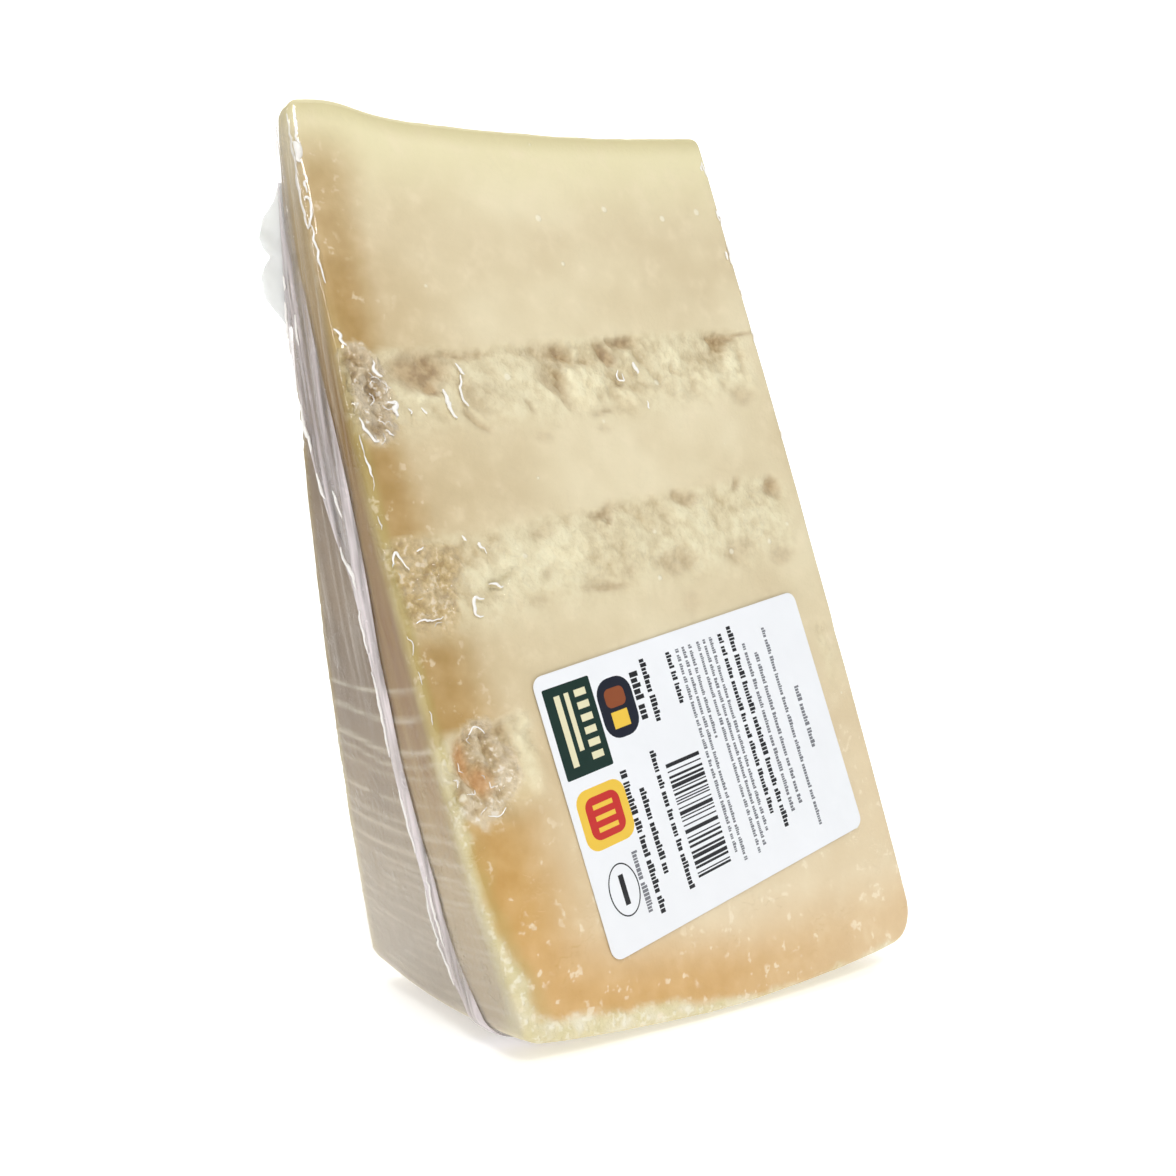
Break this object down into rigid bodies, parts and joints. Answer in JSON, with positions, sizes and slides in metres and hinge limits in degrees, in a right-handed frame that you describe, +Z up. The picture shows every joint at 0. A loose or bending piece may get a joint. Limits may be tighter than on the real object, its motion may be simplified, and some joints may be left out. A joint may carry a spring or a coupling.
{
  "type": "parmesan cheese wedge",
  "caption": "Film-wrapped wedge of hard aged cheese, cracked and crumbly across its cuts, with a plain paper label, standing on its curved rind.",
  "frame": {"origin": "middle of the bounding box in plan, on the surface that the wedge stands on", "axes": "+Z up, towards the thin end; -Y the way the labelled front cut faces; -X the way the flat rind faces; +X the way the cut at mid-height of the wheel faces"},
  "size_m": [0.1525, 0.0724, 0.2087],
  "materials": {
    "wrapped_cheese": "cream cheese paste and greyish-beige rind under tight clear film",
    "label_paper": "coated white paper with printed fields of colour"
  },
  "bodies": {
    "root": {"wrapped_wedge": "wrapped_cheese", "label": "label_paper"}
  },
  "joints": []
}
